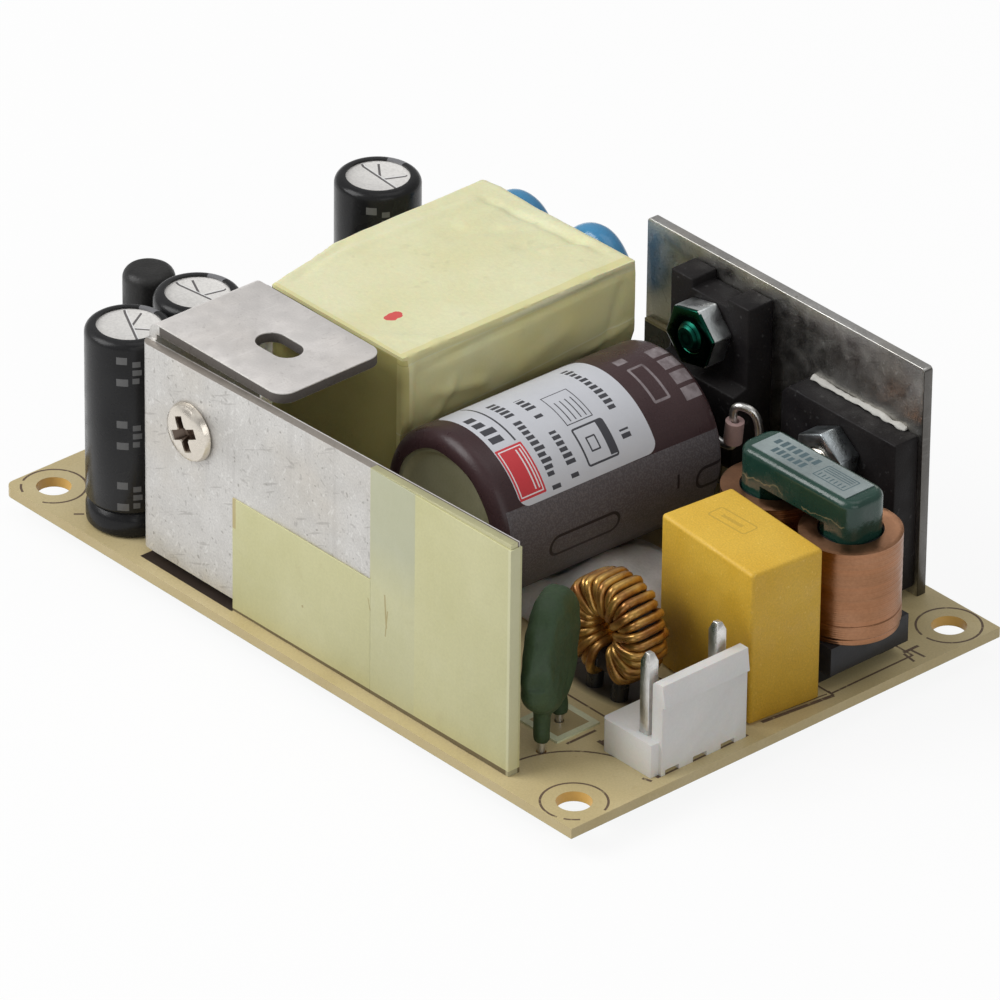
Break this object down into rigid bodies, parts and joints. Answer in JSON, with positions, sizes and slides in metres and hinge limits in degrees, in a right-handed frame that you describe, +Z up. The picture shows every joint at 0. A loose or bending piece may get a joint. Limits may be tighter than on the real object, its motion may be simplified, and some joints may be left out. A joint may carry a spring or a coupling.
{
  "type": "open frame power supply",
  "caption": "Open frame mains power supply on a tan circuit board, with two aluminium heat sinks, a taped transformer, a lying capacitor and pin headers.",
  "frame": {"origin": "middle of the board's four mounting holes, on the board's underside", "axes": "+X along the board towards the mains inlet, +Y across the board towards the flat heat sink, +Z up out of the board's parts side"},
  "size_m": [0.0762, 0.0508, 0.0264],
  "materials": {
    "board": "satin laminate",
    "solder": "bright solder",
    "sink": "brushed, lightly scuffed",
    "tape": "matt polyester tape",
    "nickel": "nickel plated",
    "zinc": "zinc plated",
    "pad": "matt",
    "tin": "tinned",
    "epoxy": "matt moulding",
    "paste": "matt",
    "black_film": "satin",
    "ferrite": "matt",
    "black_nylon": "satin",
    "copper": "enamelled copper",
    "can": "drawn",
    "brown_sleeve": "glossy shrink sleeve",
    "bung": "matt",
    "pink_sleeve": "satin",
    "label": "silver white foil",
    "sealant": "matt",
    "black_sleeve": "glossy shrink sleeve",
    "blue_coat": "dipped coating",
    "green_coat": "dipped coating",
    "film": "translucent film",
    "amber_wire": "amber enamel",
    "white_nylon": "satin",
    "yellow_box": "fine grained",
    "green_core": "coated ferrite",
    "sticker": "silver grey",
    "fuse_brown": "satin"
  },
  "bodies": {
    "root": {"circuit_board": "board", "solder_joints": "solder", "bent_heat_sink": "sink", "flat_heat_sink": "sink", "lower_tape": "tape", "end_tape": "tape", "short_screw": "nickel", "long_screws": "nickel", "nuts": "zinc", "rectifier_pad": "pad", "rectifier_frame": "tin", "rectifier_body": "epoxy", "transistor_body": "epoxy", "transistor_leads": "tin", "bridge_body": "epoxy", "bridge_leads": "tin", "heat_paste": "paste", "insulator_sheet": "black_film", "transformer_tape": "tape", "transformer_cores": "ferrite", "transformer_bobbin": "black_nylon", "transformer_winding": "copper", "transformer_pins": "tin", "bulk_can": "can", "bulk_sleeve": "brown_sleeve", "bulk_bung": "bung", "bulk_leads": "tin", "bulk_lead_sleeve": "pink_sleeve", "bulk_label": "label", "sealant": "sealant", "capacitor_cans": "can", "capacitor_sleeves": "black_sleeve", "capacitor_bungs": "bung", "capacitor_leads": "tin", "rod_choke": "black_sleeve", "rod_choke_leads": "tin", "safety_capacitors": "blue_coat", "safety_capacitor_leads": "tin", "thermistor_disc": "green_coat", "thermistor_leads": "tin", "thermistor_film": "film", "toroid_core": "ferrite", "toroid_winding": "amber_wire", "toroid_sleeves": "black_sleeve", "inlet_housing": "white_nylon", "outlet_housing": "white_nylon", "header_pins": "tin", "box_capacitor": "yellow_box", "box_capacitor_leads": "tin", "choke_core": "green_core", "choke_windings": "copper", "choke_bobbin": "black_nylon", "choke_pins": "tin", "choke_sticker": "sticker", "fuse_body": "fuse_brown", "fuse_leads": "tin", "coupler_body": "epoxy", "coupler_leads": "tin", "controller_chip": "epoxy", "chip_parts": "ferrite"}
  },
  "joints": []
}
